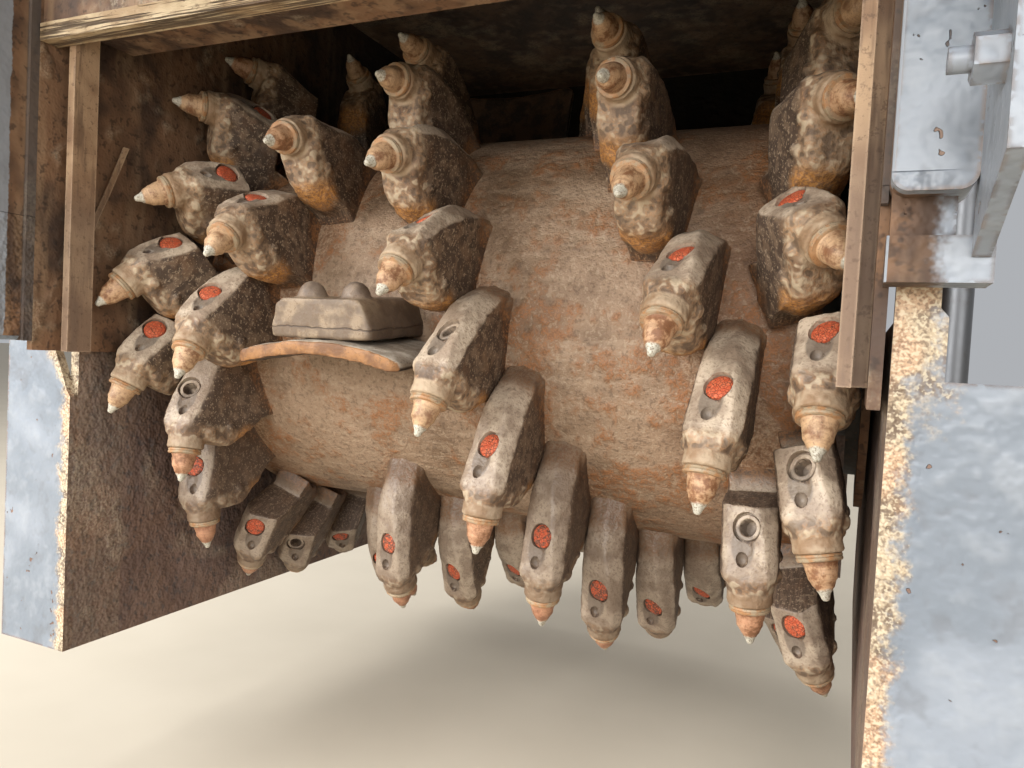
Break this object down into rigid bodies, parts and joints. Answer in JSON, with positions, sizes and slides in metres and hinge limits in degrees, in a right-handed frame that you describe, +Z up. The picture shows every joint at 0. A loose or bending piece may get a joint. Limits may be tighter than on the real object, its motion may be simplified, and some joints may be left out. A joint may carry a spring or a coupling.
{
  "type": "cold planer milling unit",
  "caption": "Steel housing with a toothed milling drum, lifting side plates, a swing-up scraper door and a conveyor mouth, bolted under a chassis.",
  "frame": {"origin": "on the top face that bolts to the chassis, straight above the drum's axis", "axes": "+Y is the travel direction, +X is to the right seen from the rear, +Z is up"},
  "size_m": [1.3, 2.2268, 1.14],
  "materials": {
    "chamber_rust": "rust-brown plate, scuffed and dusty",
    "grey_paint": "thick blue-grey paint with rust at the edges",
    "worn_strip": "worn flat strip, splintered and dusty",
    "dark_iron": "dark oily iron",
    "drum_steel": "scoured tube with rust patches",
    "holder_steel": "forged steel, scoured, dusty, rust in its hollows",
    "pick_steel": "rusty steel with pale carbide caps",
    "rod_chrome": "hard chrome"
  },
  "bodies": {
    "root": {"wall_left": "chamber_rust", "wall_right": "chamber_rust", "deck": "grey_paint", "front_wall": "chamber_rust", "mouth_collar": "grey_paint", "rear_beam": "chamber_rust", "wear_strip": "worn_strip", "guide_left": "chamber_rust", "guide_right": "chamber_rust", "post_left": "grey_paint", "post_right": "grey_paint", "cheek_left": "grey_paint", "cheek_right": "grey_paint", "gussets": "grey_paint", "hinge_ears": "chamber_rust", "bearing_housing": "dark_iron", "gearbox": "dark_iron", "barrels": "dark_iron", "front_barrels": "dark_iron"},
    "drum": {"drum_tube": "drum_steel", "holders_right": "holder_steel", "holders_left": "holder_steel", "holders_edge": "holder_steel", "picks_right": "pick_steel", "picks_left": "pick_steel", "picks_edge": "pick_steel", "paddles": "pick_steel", "paddle_blocks": "holder_steel"},
    "left_plate": {"side_plate_left": "grey_paint", "flange_left": "grey_paint", "skid_left": "dark_iron", "rods_left": "rod_chrome"},
    "right_plate": {"side_plate_right": "grey_paint", "flange_right": "grey_paint", "skid_right": "dark_iron", "rods_right": "rod_chrome"},
    "door": {"door_plate": "grey_paint", "door_ribs": "grey_paint", "door_edge": "dark_iron", "door_lugs": "grey_paint"},
    "gatherer": {"gathering_plate": "grey_paint", "gathering_rods": "rod_chrome"}
  },
  "joints": [
    {"name": "drum_spin", "type": "hinge", "parent": "root", "child": "drum", "pos_m": [0, 0, -0.64], "axis": [1, 0, 0], "continuous": true},
    {"name": "left_plate_lift", "type": "slide", "parent": "root", "child": "left_plate", "axis": [0, 0, 1], "range_m": [0, 0.32]},
    {"name": "right_plate_lift", "type": "slide", "parent": "root", "child": "right_plate", "axis": [0, 0, 1], "range_m": [0, 0.32]},
    {"name": "gathering_lift", "type": "slide", "parent": "root", "child": "gatherer", "axis": [0, 0, 1], "range_m": [0, 0.32]},
    {"name": "door_swing", "type": "hinge", "parent": "root", "child": "door", "pos_m": [0, -0.612, -0.21], "axis": [1, 0, 0], "range_deg": [0, 98]}
  ]
}
